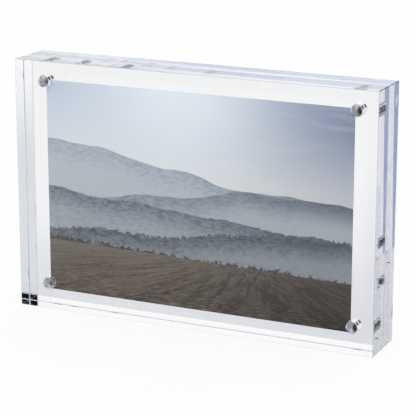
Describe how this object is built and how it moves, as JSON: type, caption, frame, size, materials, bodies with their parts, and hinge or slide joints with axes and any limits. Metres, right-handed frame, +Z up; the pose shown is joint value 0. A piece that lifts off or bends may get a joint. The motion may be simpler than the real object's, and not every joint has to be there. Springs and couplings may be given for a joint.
{
  "type": "acrylic block frame",
  "caption": "Clear acrylic block picture frame whose thick front and back blocks are held face to face by corner magnets, with a photo print between them.",
  "frame": {"origin": "middle of the footprint, on the surface that the frame stands on", "axes": "+X to the viewer's right along the long side, +Y back from the viewer through both blocks, +Z up"},
  "size_m": [0.178, 0.0254, 0.119],
  "materials": {
    "acrylic": "polished",
    "magnet": "polished",
    "print": "satin"
  },
  "bodies": {
    "back": {"back_block": "acrylic", "back_magnet_top_left": "magnet", "back_magnet_top_right": "magnet", "back_magnet_bottom_left": "magnet", "back_magnet_bottom_right": "magnet"},
    "front": {"front_block": "acrylic", "front_magnet_top_left": "magnet", "front_magnet_top_right": "magnet", "front_magnet_bottom_left": "magnet", "front_magnet_bottom_right": "magnet"},
    "print": {"photo_print": "print"}
  },
  "joints": [
    {"name": "front_pull", "type": "slide", "parent": "back", "child": "front", "axis": [0, -1, 0], "range_m": [0, 0.06]},
    {"name": "print_lift", "type": "slide", "parent": "back", "child": "print", "axis": [0, 0, 1], "range_m": [0, 0.115]}
  ]
}
